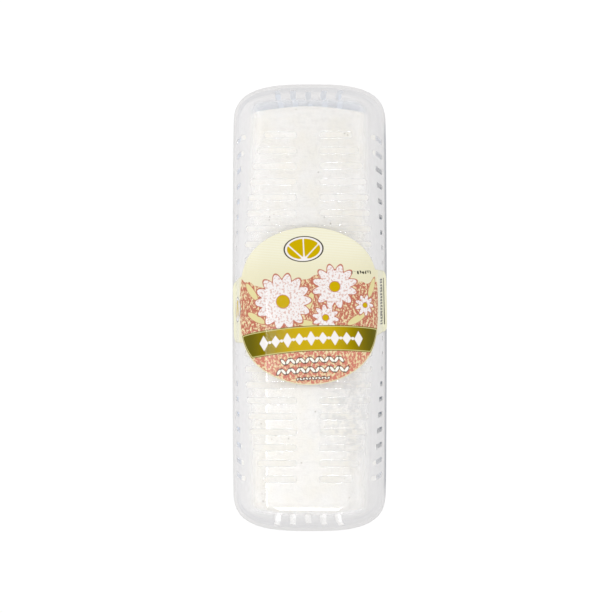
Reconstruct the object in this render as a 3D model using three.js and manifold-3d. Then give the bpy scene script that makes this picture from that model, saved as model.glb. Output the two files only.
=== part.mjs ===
// A soft-ripened goat cheese log, packed in a clear slotted case of two half shells with a round paper label.
// Millimetres, +Z up. The case lies on its flat underside, its length runs along Y,
// and the origin is the centre of the footprint.
import * as THREE from "three";
import { mergeVertices } from "three/addons/utils/BufferGeometryUtils.js";
import Module from "manifold-3d";

const wasm = await Module();
wasm.setup();

// The case: one flat panel above and one below, joined by round shoulders and walls that lean outwards
// to a closing rim at mid height
const CASE_HEIGHT = 70;
const RIM_HEIGHT = CASE_HEIGHT / 2;
const WALL = 0.7;
const PANEL_HALF_WIDTH = 21.5;
const PANEL_HALF_LENGTH = 105.2;
const STRAIGHT_HALF_LENGTH = 99.6;
const CORNER_EXPONENT = 3;
const SIDE_SHOULDER_RADIUS = 15;
const SIDE_LEAN = THREE.MathUtils.degToRad(10.5);
const END_SHOULDER_RADIUS = 9;
const END_LEAN = THREE.MathUtils.degToRad(15);
const SHOULDER_FACETS = 3;
const CORNER_FACETS = 6;
const SIDE_FACETS = 4;
const BOW_SHARE = 0.02;
const BOW_REACH = 122;

// The closing rim: the cover's skirt goes over the tray's lip
const GAP = 0.3;
const SKIRT_TOP = RIM_HEIGHT + 3.4;
const SKIRT_BOTTOM = RIM_HEIGHT - 1.2;
const SKIRT_CHAMFER = 0.6;
const SKIRT_CEILING = SKIRT_TOP - SKIRT_CHAMFER - WALL;
const LIP_TOP = SKIRT_CEILING - GAP;

// The slots that let the rind breathe
const SLOT_WIDTH = 3;
const SLOT_PITCH = 8.21;
const SLOT_ROWS = 23;
const PANEL_SLOT_START = 6;
const PANEL_SLOT_REACH = 33.2;
const PANEL_SLOT_SPAN = 103;
const SIDE_SLOT_LOW = 39.3;
const SIDE_SLOT_SHORTEST = 3.4;
const SIDE_SLOT_HIGH = 35;
const SIDE_SLOT_FALL = 20.5;
const SIDE_SLOT_FALL_LENGTH = 49.3;
const SIDE_SLOT_CURVE = 1.2;
const END_SLOTS = 5;
const END_SLOT_PITCH = 7.8;
const END_SLOT_SPREAD = 0.035;
const END_SLOT_START = 108.6;
const END_SLOT_LOW = 56;
const END_SLOT_DROP = 7;

// The cheese: a round log, a little flattened by its own weight
const LOG_HALF_LENGTH = 112;
const LOG_HALF_WIDTH = 34.6;
const LOG_HALF_HEIGHT = 33.7;
const LOG_PLACE_ALONG = -0.9;
const LOG_SEAT_DEPTH = 0.5;
const LOG_EDGE_RADIUS = 10;
const LOG_END_DOME = 2.2;
const LOG_RELIEF = 0.35;
const LOG_SIDES = 30;
const LOG_LENGTHWISE_STEPS = 14;
const LOG_EDGE_STEPS = 3;
const LOG_FACE_STEPS = 2;

// The label: a paper disc with a tab at either side that goes down over the closing rim
const PAPER = 0.3;
const LABEL_RADIUS = 41.4;
const LABEL_TURN = THREE.MathUtils.degToRad(2.9);
const LABEL_OFFSET_ACROSS = 0.7;
const LABEL_OFFSET_ALONG = 0.4;
const TAB_ROOT_HALF_WIDTH = 19;
const TAB_END_HALF_WIDTH = 16.4;
const TAB_END_ROUNDING = 4;
const TAB_END_HEIGHT = 18;
const LABEL_LONGEST_STEP = 5;
const LABEL_COLUMNS = 4;

const clear = new THREE.MeshStandardMaterial({
  color: 0xe9edf0,
  roughness: 0.15,
  metalness: 0,
  transparent: true,
  opacity: 0.4,
});
const rind = new THREE.MeshStandardMaterial({ color: 0xf3f0e8, roughness: 0.85, metalness: 0 });
const paper = new THREE.MeshStandardMaterial({ color: 0xe9ddb0, roughness: 0.5, metalness: 0 });

// A closed three.js geometry as a solid for joining and cutting.
function solidOf(geometry) {
  const bare = geometry.clone();
  bare.deleteAttribute("normal");
  bare.deleteAttribute("uv");
  const merged = mergeVertices(bare, 1e-4);
  return new wasm.Manifold(
    new wasm.Mesh({
      numProp: 3,
      vertProperties: merged.attributes.position.array,
      triVerts: new Uint32Array(merged.index.array),
    }),
  );
}

// A solid back as a three.js geometry with flat faces.
function geometryOf(solid) {
  const mesh = solid.getMesh();
  const geometry = new THREE.BufferGeometry();
  geometry.setAttribute("position", new THREE.BufferAttribute(mesh.vertProperties, 3));
  geometry.setIndex(new THREE.BufferAttribute(mesh.triVerts, 1));
  const flat = geometry.toNonIndexed();
  flat.computeVertexNormals();
  return flat;
}

// A geometry from points in rows of equal length: each row is a closed loop, the rows run upwards or outwards,
// and the two end loops are closed by the faces given for them.
function loft(rows, firstCap, lastCap) {
  const count = rows[0].length;
  const index = [];
  for (let row = 0; row + 1 < rows.length; row++) {
    for (let i = 0; i < count; i++) {
      const next = (i + 1) % count;
      const [a, b] = [row * count + i, row * count + next];
      index.push(a, b, b + count, a, b + count, a + count);
    }
  }
  const last = (rows.length - 1) * count;
  for (const [a, b, c] of firstCap) index.push(c, b, a);
  for (const [a, b, c] of lastCap) index.push(last + a, last + b, last + c);
  const geometry = new THREE.BufferGeometry();
  geometry.setAttribute("position", new THREE.Float32BufferAttribute(rows.flat(2), 3));
  geometry.setIndex(index);
  return geometry;
}

// The faces that fill a flat loop, seen from above.
function fillOf(loop) {
  return THREE.ShapeUtils.triangulateShape(
    loop.map(([x, y]) => new THREE.Vector2(x, y)),
    [],
  );
}

// How much wider the case is at this place along its length: its long sides bow out a little.
function bow(y) {
  return 1 + BOW_SHARE * (1 - (y / BOW_REACH) ** 2);
}

// One level of the case. side and end are {out, z}: how far the wall stands from the middle, and how high,
// at the middle of a long side and of an end. The corners are superellipse quarters, and height blends round them.
function ringOf(side, end) {
  const loop = [];
  const depth = end.out - STRAIGHT_HALF_LENGTH;
  const power = 2 / CORNER_EXPONENT;
  for (const half of [1, -1]) {
    for (let i = 0; i <= 2 * CORNER_FACETS; i++) {
      const share = i / CORNER_FACETS;
      const quarter = share <= 1 ? share : 2 - share;
      const angle = (Math.PI / 2) * (3 * quarter ** 2 - 2 * quarter ** 3);
      const across = side.out * Math.max(0, Math.cos(angle)) ** power * (share <= 1 ? 1 : -1);
      const along = STRAIGHT_HALF_LENGTH + depth * Math.sin(angle) ** power;
      const z = side.z + (end.z - side.z) * Math.sin(angle) ** 2;
      loop.push([half * across * bow(along), half * along, z]);
    }
    for (let i = 1; i < SIDE_FACETS; i++) {
      const along = half * STRAIGHT_HALF_LENGTH * (1 - (2 * i) / SIDE_FACETS);
      loop.push([-half * side.out * bow(along), along, side.z]);
    }
  }
  return loop;
}

// The upper half of a section through the case, inset from the outside by some thickness, from its widest
// place up to the panel's edge: a list of {out, z}. floor is the height at which the wall starts.
function sectionOf(panelEdge, radius, lean, inset, floor) {
  const centre = CASE_HEIGHT - radius;
  const inner = radius - inset;
  const wallTop = { out: panelEdge + inner * Math.cos(lean), z: centre + inner * Math.sin(lean) };
  const points = [{ out: wallTop.out + (wallTop.z - floor) * Math.tan(lean), z: floor }];
  for (let i = 0; i <= SHOULDER_FACETS; i++) {
    const angle = lean + (Math.PI / 2 - lean) * (i / SHOULDER_FACETS);
    points.push({ out: panelEdge + inner * Math.cos(angle), z: centre + inner * Math.sin(angle) });
  }
  return points;
}

const sideSection = (inset, floor) =>
  sectionOf(PANEL_HALF_WIDTH, SIDE_SHOULDER_RADIUS, SIDE_LEAN, inset, floor);
const endSection = (inset, floor) =>
  sectionOf(PANEL_HALF_LENGTH, END_SHOULDER_RADIUS, END_LEAN, inset, floor);

const rimSide = sideSection(0, RIM_HEIGHT)[0].out;
const rimEnd = endSection(0, RIM_HEIGHT)[0].out;

// The inside or outside of a half case as a solid. Its wall starts at floor; foot is a list of {step, z}
// for the rings below that, each a step outside the place where the wall would meet mid height.
function halfCaseBody(inset, floor, foot) {
  const side = sideSection(inset, floor);
  const end = endSection(inset, floor);
  const lower = foot.map(({ step, z }) => ringOf({ out: rimSide + step, z }, { out: rimEnd + step, z }));
  const rings = [...lower, ...side.map((point, i) => ringOf(point, end[i]))];
  return solidOf(loft(rings, fillOf(rings[0]), fillOf(rings.at(-1))));
}

// The outline of a slot that starts at the origin and runs along X for a length, narrowed to both ends.
function slotShape(length) {
  const half = SLOT_WIDTH / 2;
  const outline = [
    [half, -half],
    [length - half, -half],
    [length, 0],
    [length - half, half],
    [half, half],
    [0, 0],
  ];
  return new THREE.Shape(outline.map(([x, y]) => new THREE.Vector2(x, y)));
}

// A cutter for one slot. A matrix of three axes puts the outline's own X, Y and depth where they belong.
function slotCutter(length, depth, origin, along, across, inwards) {
  const geometry = new THREE.ExtrudeGeometry(slotShape(length), { depth, bevelEnabled: false });
  geometry.applyMatrix4(
    new THREE.Matrix4()
      .makeBasis(new THREE.Vector3(...along), new THREE.Vector3(...across), new THREE.Vector3(...inwards))
      .setPosition(...origin),
  );
  return solidOf(geometry);
}

const rowPlaces = Array.from({ length: SLOT_ROWS }, (_, i) => (i - (SLOT_ROWS - 1) / 2) * SLOT_PITCH);

// How far from the middle a panel slot reaches: the row ends follow a long superellipse.
function panelSlotEnd(y) {
  return PANEL_SLOT_REACH * (1 - (Math.abs(y) / PANEL_SLOT_SPAN) ** 3) ** (1 / 3);
}

// The height of a wall slot's upper end. It is set as a distance over the surface from the middle of the panel,
// which grows from the end rows towards the middle of the case.
function sideSlotTop(y) {
  const fromEnd = rowPlaces.at(-1) - Math.abs(y);
  const over = SIDE_SLOT_HIGH + SIDE_SLOT_FALL * (fromEnd / SIDE_SLOT_FALL_LENGTH) ** SIDE_SLOT_CURVE;
  const shoulder = over - PANEL_HALF_WIDTH;
  const whole = SIDE_SHOULDER_RADIUS * (Math.PI / 2 - SIDE_LEAN);
  const centre = CASE_HEIGHT - SIDE_SHOULDER_RADIUS;
  if (shoulder < whole) return centre + SIDE_SHOULDER_RADIUS * Math.cos(shoulder / SIDE_SHOULDER_RADIUS);
  return centre + SIDE_SHOULDER_RADIUS * Math.sin(SIDE_LEAN) - (shoulder - whole) * Math.cos(SIDE_LEAN);
}

// Two columns of slots across the panel, each running on over the shoulder.
function panelSlots() {
  const below = CASE_HEIGHT - SIDE_SHOULDER_RADIUS;
  return rowPlaces.flatMap((y) =>
    [1, -1].map((side) =>
      slotCutter(
        panelSlotEnd(y) - PANEL_SLOT_START,
        SIDE_SHOULDER_RADIUS + 2,
        [side * PANEL_SLOT_START, y, below],
        [side, 0, 0],
        [0, side, 0],
        [0, 0, 1],
      ),
    ),
  );
}

// Upright slots in the long walls, shorter towards the middle of the case.
function sideSlots() {
  const innermost = 30;
  const depth = 14;
  return rowPlaces.flatMap((y) => {
    const length = Math.max(sideSlotTop(y) - SIDE_SLOT_LOW, SIDE_SLOT_SHORTEST);
    return [1, -1].map((side) =>
      slotCutter(
        length,
        depth,
        [side * innermost, y, SIDE_SLOT_LOW],
        [0, 0, 1],
        [0, -side, 0],
        [side, 0, 0],
      ),
    );
  });
}

// Slots in the end walls: they start on the shoulder, run down the wall and spread a little apart.
function endSlots() {
  const middle = (END_SLOTS - 1) / 2;
  const wallTop = CASE_HEIGHT - END_SHOULDER_RADIUS;
  const shoulderLength = PANEL_HALF_LENGTH + END_SHOULDER_RADIUS + 2 - END_SLOT_START;
  return Array.from({ length: END_SLOTS }, (_, i) => i - middle).flatMap((place) => {
    const low = END_SLOT_LOW - END_SLOT_DROP * Math.abs(place);
    const lean = place * END_SLOT_SPREAD;
    const down = new THREE.Vector3(lean, 0, -1).normalize().toArray();
    const x = place * END_SLOT_PITCH;
    const top = wallTop + SLOT_WIDTH;
    const topX = x + lean * (CASE_HEIGHT - top);
    return [1, -1].flatMap((end) => [
      slotCutter(
        shoulderLength,
        END_SHOULDER_RADIUS,
        [x, end * END_SLOT_START, wallTop + 1],
        [0, end, 0],
        [-end, 0, 0],
        [0, 0, 1],
      ),
      slotCutter(
        (top - low) / -down[2],
        16,
        [topX, end * (PANEL_HALF_LENGTH + 4), top],
        down,
        new THREE.Vector3(0, end, 0).cross(new THREE.Vector3(...down)).toArray(),
        [0, end, 0],
      ),
    ]);
  });
}

// A half case pierced by its slots, from its outside and its inside.
function pierced(outside, inside) {
  const cutters = [...panelSlots(), ...sideSlots(), ...endSlots()];
  return outside.subtract(inside).subtract(wasm.Manifold.union(cutters));
}

function coverGeometry() {
  const outside = halfCaseBody(0, SKIRT_TOP, [
    { step: GAP + WALL, z: SKIRT_BOTTOM },
    { step: GAP + WALL, z: SKIRT_TOP - SKIRT_CHAMFER },
  ]);
  const inside = halfCaseBody(WALL, SKIRT_CEILING + 0.01, [
    { step: GAP, z: SKIRT_BOTTOM - 1 },
    { step: GAP, z: SKIRT_CEILING },
  ]);
  return geometryOf(pierced(outside, inside));
}

// The tray is the cover's shape upside down, with a plain lip in place of the skirt.
function trayGeometry() {
  const lip = CASE_HEIGHT - LIP_TOP;
  const outside = halfCaseBody(0, RIM_HEIGHT, [{ step: 0, z: lip }]);
  const inside = halfCaseBody(WALL, RIM_HEIGHT, [{ step: -WALL, z: lip - 1 }]);
  return geometryOf(pierced(outside, inside).mirror([0, 0, 1]).translate([0, 0, CASE_HEIGHT]));
}

// How far the rind stands out or in at a place on the log, from waves that never quite repeat.
function rindRelief(along, turn) {
  const waves =
    Math.sin(along * 0.19 + 2 * turn) +
    Math.sin(along * 0.083 - 3 * turn + 1.3) +
    0.7 * Math.sin(along * 0.31 + 5 * turn + 0.4);
  return (LOG_RELIEF * waves) / 2.7;
}

// The log's outline from its middle to the centre of one end: a list of {along, shrink}, where shrink is how far
// the skin stands inside the log's full radius there.
function logEndProfile() {
  const points = [];
  for (let i = 0; i <= LOG_EDGE_STEPS; i++) {
    const angle = (Math.PI / 2) * (i / LOG_EDGE_STEPS);
    points.push({
      along: LOG_HALF_LENGTH - LOG_END_DOME - LOG_EDGE_RADIUS * (1 - Math.sin(angle)),
      shrink: LOG_EDGE_RADIUS * (1 - Math.cos(angle)),
    });
  }
  const face = LOG_HALF_HEIGHT - LOG_EDGE_RADIUS;
  for (let i = 1; i <= LOG_FACE_STEPS; i++) {
    const share = i / (LOG_FACE_STEPS + 1);
    points.push({
      along: LOG_HALF_LENGTH - LOG_END_DOME * (1 - share) ** 2,
      shrink: LOG_EDGE_RADIUS + face * share,
    });
  }
  return points;
}

function logGeometry() {
  const end = logEndProfile();
  const straight = end[0].along;
  const middle = Array.from({ length: LOG_LENGTHWISE_STEPS - 1 }, (_, i) => ({
    along: straight * ((2 * (i + 1)) / LOG_LENGTHWISE_STEPS - 1),
    shrink: 0,
  }));
  const stations = [...end.map((p) => ({ ...p, along: -p.along })).reverse(), ...middle, ...end];
  const seat = WALL + GAP;
  const centre = seat + LOG_HALF_HEIGHT - LOG_SEAT_DEPTH;
  const rows = stations.map(({ along, shrink }) =>
    Array.from({ length: LOG_SIDES }, (_, i) => {
      const turn = (2 * Math.PI * i) / LOG_SIDES;
      const out = rindRelief(along, turn) - shrink;
      const x = (LOG_HALF_WIDTH + out) * Math.sin(turn);
      const z = centre + (LOG_HALF_HEIGHT + out) * Math.cos(turn);
      return [x, along + LOG_PLACE_ALONG, Math.max(z, seat)];
    }),
  );
  const cap = Array.from({ length: LOG_SIDES - 2 }, (_, i) => [0, i + 1, i + 2]);
  return loft(rows, cap, cap);
}

// The case's outside from the middle of the panel over one side and down past the rim, as the label's paper
// follows it: corner points, each with the length of paper that leads to it.
function paperPath(offset) {
  const skirt = rimSide + GAP + WALL;
  const corners = [
    { out: 0, z: CASE_HEIGHT },
    ...sideSection(0, SKIRT_TOP + 2).reverse(),
    { out: skirt, z: SKIRT_TOP - SKIRT_CHAMFER },
    { out: skirt, z: SKIRT_BOTTOM },
    { out: rimSide - Math.tan(SIDE_LEAN) * (RIM_HEIGHT - TAB_END_HEIGHT), z: TAB_END_HEIGHT },
  ];
  const normals = corners.slice(1).map((b, i) => {
    const run = new THREE.Vector2(b.out - corners[i].out, b.z - corners[i].z).normalize();
    return new THREE.Vector2(-run.y, run.x);
  });
  let length = 0;
  return corners.map((corner, i) => {
    const before = normals[Math.max(i - 1, 0)];
    const after = normals[Math.min(i, normals.length - 1)];
    const mitre = before.clone().add(after).normalize();
    const reach = offset / mitre.dot(after);
    if (i > 0) length += Math.hypot(corner.out - corners[i - 1].out, corner.z - corners[i - 1].z);
    return { length, out: corner.out + mitre.x * reach, z: corner.z + mitre.y * reach };
  });
}

// The point of a paper path a given length from the middle.
function pointOn(path, length) {
  const next = Math.max(
    1,
    path.findIndex((p) => p.length >= length - 1e-9),
  );
  const [a, b] = [path[next - 1], path[next]];
  const share = (length - a.length) / (b.length - a.length);
  return { out: a.out + (b.out - a.out) * share, z: a.z + (b.z - a.z) * share };
}

// Half the label's width along the case, at a distance across from its centre.
function labelHalfWidth(across, reach) {
  const far = Math.abs(across);
  const disc = Math.sqrt(Math.max(0, LABEL_RADIUS ** 2 - far ** 2));
  const taper = Math.min(1, far / reach);
  let tab = TAB_ROOT_HALF_WIDTH + (TAB_END_HALF_WIDTH - TAB_ROOT_HALF_WIDTH) * taper;
  const intoEnd = far - (reach - TAB_END_ROUNDING);
  if (intoEnd > 0) tab -= TAB_END_ROUNDING - Math.sqrt(Math.max(0, TAB_END_ROUNDING ** 2 - intoEnd ** 2));
  return Math.max(disc, tab);
}

// Where the turned label's edge lies along the case, above or below its centre line, at a distance across.
function labelEdge(across, side, reach) {
  const local = across - LABEL_OFFSET_ACROSS;
  let along = 0;
  for (let i = 0; i < 12; i++) {
    const own = local * Math.cos(LABEL_TURN) + along * Math.sin(LABEL_TURN);
    const half = side * labelHalfWidth(own, reach);
    along = (half + local * Math.sin(LABEL_TURN)) / Math.cos(LABEL_TURN);
  }
  return LABEL_OFFSET_ALONG + along;
}

function labelGeometry() {
  const inner = paperPath(GAP);
  const outer = paperPath(GAP + PAPER);
  const reach = inner.at(-1).length;
  const half = [];
  inner.slice(1).forEach((corner, i) => {
    const from = inner[i].length;
    const steps = Math.ceil((corner.length - from) / LABEL_LONGEST_STEP);
    for (let k = 1; k <= steps; k++) half.push(from + ((corner.length - from) * k) / steps);
  });
  const stations = [...half.map((v) => -v).reverse(), 0, ...half];
  const rows = stations.map((across) => {
    const near = pointOn(inner, Math.abs(across));
    const far = pointOn(outer, Math.abs(across));
    const side = Math.sign(across);
    const low = labelEdge(across, -1, reach);
    const high = labelEdge(across, 1, reach);
    const places = Array.from({ length: LABEL_COLUMNS + 1 }, (_, i) => low + ((high - low) * i) / LABEL_COLUMNS);
    const under = places.map((y) => [side * near.out * bow(y), y, near.z]);
    const over = places.map((y) => [side * far.out * bow(y), y, far.z]).reverse();
    return [...under, ...over];
  });
  const count = LABEL_COLUMNS + 1;
  const cap = [];
  for (let i = 0; i < LABEL_COLUMNS; i++) {
    const opposite = 2 * count - 1 - i;
    cap.push([i, i + 1, opposite - 1], [i, opposite - 1, opposite]);
  }
  return loft(rows, cap, cap);
}

function named(name, geometry, material) {
  const mesh = new THREE.Mesh(geometry, material);
  mesh.name = name;
  return mesh;
}

const cheesePack = new THREE.Group();
cheesePack.add(
  named("cheese_log", logGeometry(), rind),
  named("tray", trayGeometry(), clear),
  named("cover", coverGeometry(), clear),
  named("label", labelGeometry(), paper),
);

export default cheesePack;
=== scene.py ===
"""The looks of a soft-ripened goat cheese log in its clear slotted case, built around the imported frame.

Every surface is worked out in millimetres as whole arrays, in the frame's own axes: X across the case,
Y along it, Z up from the surface it rests on. mesh_object turns millimetres into metres.
"""

import logging
from dataclasses import dataclass
from enum import Enum

import bpy
import numpy as np
from mathutils import Euler, Matrix, Vector
from mathutils.geometry import delaunay_2d_cdt


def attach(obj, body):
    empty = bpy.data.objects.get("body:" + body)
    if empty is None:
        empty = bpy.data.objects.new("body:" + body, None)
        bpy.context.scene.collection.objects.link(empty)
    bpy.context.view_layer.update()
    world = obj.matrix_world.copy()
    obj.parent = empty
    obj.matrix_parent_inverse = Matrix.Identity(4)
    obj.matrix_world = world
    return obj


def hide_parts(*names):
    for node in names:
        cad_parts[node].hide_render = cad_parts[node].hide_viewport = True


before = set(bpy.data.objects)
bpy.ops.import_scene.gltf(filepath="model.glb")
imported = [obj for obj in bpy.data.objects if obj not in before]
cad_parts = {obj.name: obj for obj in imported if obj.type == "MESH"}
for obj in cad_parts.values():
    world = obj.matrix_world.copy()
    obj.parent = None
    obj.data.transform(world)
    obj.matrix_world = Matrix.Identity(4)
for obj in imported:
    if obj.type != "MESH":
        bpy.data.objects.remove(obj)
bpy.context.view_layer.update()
BODY = "root"
MM = 0.001
FAR_OUTSIDE = -99.0

Array = np.ndarray
Node = bpy.types.Node
Socket = bpy.types.NodeSocket
Value = Socket | str | float | tuple
Inputs = dict[int | str, Value]
log = logging.getLogger("cheese_pack")


class Side(Enum):
    """Which half of the case a shell is."""

    COVER = "cover"
    TRAY = "tray"


# ---- meshes ----


def grid_faces(rows: int, columns: int, closed: bool) -> Array:
    """Quads between the points of a grid stored row by row.

    Args:
        rows: how many rows the grid has.
        columns: how many points a row has.
        closed: True if each row is a loop, whose last point joins its first.

    Returns:
        An array of quads, one line of four point numbers each.
    """
    row = np.arange(rows - 1)[:, None] * columns
    column = np.arange(columns if closed else columns - 1)[None, :]
    after = (column + 1) % columns
    quads = np.stack([row + column, row + after, row + columns + after, row + columns + column], -1)
    return quads.reshape(-1, 4)


def strips(loops: list[Array]) -> list[Array]:
    """Quads between each loop of point numbers and the next one."""
    return [np.stack([a, b, np.roll(b, -1), np.roll(a, -1)], -1) for a, b in zip(loops, loops[1:])]


def signed_volume(points: Array, faces: list[Array]) -> float:
    """The volume inside closed faces: a sixth of the sum, over triangles, of a . (b x c).

    Args:
        points: the points, one line of three numbers each.
        faces: blocks of triangles or quads that close the surface.

    Returns:
        The volume, below zero where the faces are turned inwards.
    """
    total = 0.0
    for block in faces:
        for k in range(1, block.shape[1] - 1):
            a, b, c = (points[block[:, i]] for i in (0, k, k + 1))
            total += float(np.einsum("ij,ij->", a, np.cross(b, c)))
    return total / 6


def mesh_object(
    name: str, points: Array, faces: list[Array], normals: Array | None = None
) -> bpy.types.Object:
    """A smooth object from points in millimetres, with its faces turned outwards.

    Args:
        name: the object's name.
        points: the points, one line of three numbers each.
        faces: blocks of triangles or quads that together close the surface.
        normals: a normal for each point, or zeros where the smooth normal is right.

    Returns:
        The new object, at the origin, in the scene.
    """
    if signed_volume(points, faces) < 0:
        faces = [block[:, ::-1] for block in faces]
    corners = np.concatenate([block.ravel() for block in faces]).astype(np.int32)
    sizes = np.concatenate([np.full(len(block), block.shape[1]) for block in faces])
    starts = np.concatenate([[0], np.cumsum(sizes)[:-1]]).astype(np.int32)
    mesh = bpy.data.meshes.new(name)
    mesh.vertices.add(len(points))
    mesh.vertices.foreach_set("co", (points * MM).astype(np.float32).ravel())
    mesh.loops.add(len(corners))
    mesh.loops.foreach_set("vertex_index", corners)
    mesh.polygons.add(len(starts))
    mesh.polygons.foreach_set("loop_start", starts)
    mesh.update(calc_edges=True)
    mesh.polygons.foreach_set("use_smooth", np.ones(len(starts), bool))
    if normals is not None:
        mesh.normals_split_custom_set_from_vertices(normals.tolist())
    piece = bpy.data.objects.new(name, mesh)
    bpy.context.scene.collection.objects.link(piece)
    return piece


def store(piece: bpy.types.Object, name: str, values: Array) -> None:
    """Keeps a number, or a line of three numbers, for each point of a piece as a named attribute."""
    kind, key = ("FLOAT", "value") if values.ndim == 1 else ("FLOAT_VECTOR", "vector")
    piece.data.attributes.new(name, kind, "POINT").data.foreach_set(key, values.astype(np.float32).ravel())


def lattice_noise(points: Array, size: float, seed: int) -> Array:
    """Smooth random values between -1 and 1 at points in space.

    A seeded cube of random numbers repeats through space with one number every size millimetres, and a
    point gets the blend of the eight numbers around it, by weights that ease in and out.

    Args:
        points: the points, one line of three numbers each.
        size: the distance between two random numbers.
        seed: which random cube is used.

    Returns:
        One value for each point.
    """
    side = 64
    cube = np.random.default_rng(seed).uniform(-1, 1, (side, side, side))
    place = points / size
    cell = np.floor(place).astype(int)
    share = place - cell
    share = share * share * (3 - 2 * share)
    value = np.zeros(len(points))
    for corner in range(8):
        step = np.array([corner & 1, corner >> 1 & 1, corner >> 2 & 1])
        weight = np.prod(np.where(step, share, 1 - share), axis=1)
        i, j, k = ((cell + step) % side).T
        value += weight * cube[i, j, k]
    return value


def rounded(corners: list[tuple[float, float, float]], segments: int) -> Array:
    """A polyline whose inner corners are rounded.

    Args:
        corners: (out, z, cut) for each corner, where cut is how far from the corner its curve starts.
        segments: how many segments a curve has.

    Returns:
        The points (out, z). A curve is the parabola that touches both sides of its corner.
    """
    place = np.array([corner[:2] for corner in corners])
    points = [place[:1]]
    share = np.linspace(0, 1, segments + 1)[:, None]
    for before, here, after, corner in zip(place, place[1:], place[2:], corners[1:]):
        start = here + (before - here) / np.linalg.norm(before - here) * corner[2]
        stop = here + (after - here) / np.linalg.norm(after - here) * corner[2]
        points.append((1 - share) ** 2 * start + 2 * share * (1 - share) * here + share**2 * stop)
    points.append(place[-1:])
    return np.concatenate(points)


def path_length(out: Array, z: Array) -> Array:
    """The length along a polyline up to each of its points."""
    return np.concatenate([[0], np.cumsum(np.hypot(np.diff(out), np.diff(z)))])


# ---- the case's form ----


@dataclass
class Sites:
    """Places on a half case: flat ones on the panel, the others on its shoulder and wall.

    Attributes:
        flat: True where the place is on the flat panel.
        x: across the panel where flat, otherwise only its sign counts.
        y: along the panel where flat, otherwise only its sign counts.
        run: 0 at the middle of a long side, 1 where the corner starts, 2 at the middle of an end.
        level: 0 at the panel's edge, 1 at the end of the shoulder's arc, 2 at the wall's foot.
    """

    flat: Array
    x: Array
    y: Array
    run: Array
    level: Array

    def arrays(self) -> tuple[Array, ...]:
        """The five arrays in their order."""
        return self.flat, self.x, self.y, self.run, self.level

    @staticmethod
    def join(lots: list["Sites"]) -> "Sites":
        """All the places of several lots, in order."""
        return Sites(*(np.concatenate(arrays) for arrays in zip(*(lot.arrays() for lot in lots))))

    def pick(self, chosen: Array) -> "Sites":
        """The places for which chosen is True."""
        return Sites(*(array[chosen] for array in self.arrays()))

    def signs(self) -> Array:
        """The signs of x and y for each place, and 1 for its height."""
        return np.stack([np.where(self.x < 0, -1, 1), np.where(self.y < 0, -1, 1), np.ones(len(self.x))], -1)


@dataclass(frozen=True)
class Flank:
    """A section through the shoulder and wall: an arc, then a straight line that leans outwards.

    Attributes:
        edge: how far from the middle the arc starts.
        radius: the arc's radius.
        lean: the wall's angle from upright.
        height: the panel's height.
        foot: the height of the wall's foot.
    """

    edge: float
    radius: float
    lean: float
    height: float = 70.0
    foot: float = 38.75

    @property
    def arc(self) -> float:
        """The arc's length."""
        return self.radius * (np.pi / 2 - self.lean)

    @property
    def wall(self) -> float:
        """The length of the straight wall from the arc's end to the foot."""
        return (self.height - self.radius + self.radius * np.sin(self.lean) - self.foot) / np.cos(self.lean)

    @property
    def arc_end(self) -> float:
        """The height of the arc's end."""
        return self.height - self.radius * (1 - np.sin(self.lean))

    def out_at(self, z: float) -> float:
        """How far out the wall's line is at a height."""
        return self.edge + self.radius * np.cos(self.lean) + (self.arc_end - z) * np.tan(self.lean)

    def reach_at(self, z: float) -> float:
        """How far over the surface from the arc's start the wall's line is at a height."""
        return self.arc + (self.arc_end - z) / np.cos(self.lean)

    def level_of(self, reach: Array) -> Array:
        """The level at a distance over the surface from the arc's start."""
        return np.where(reach < self.arc, reach / self.arc, 1 + (reach - self.arc) / self.wall)

    def section(self, level: Array | float, inset: Array | float) -> tuple[Array, Array]:
        """Points of the section.

        Args:
            level: the places along the section, as in Sites.
            inset: how far inside the outer surface the points are.

        Returns:
            How far out and how high each point is.
        """
        turn = np.clip(level, 0, 1) * (np.pi / 2 - self.lean)
        down = np.clip(level - 1, 0, None) * self.wall
        out = self.edge + (self.radius - inset) * np.sin(turn) + down * np.sin(self.lean)
        z = self.height - self.radius + (self.radius - inset) * np.cos(turn) - down * np.cos(self.lean)
        return out, z


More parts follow.
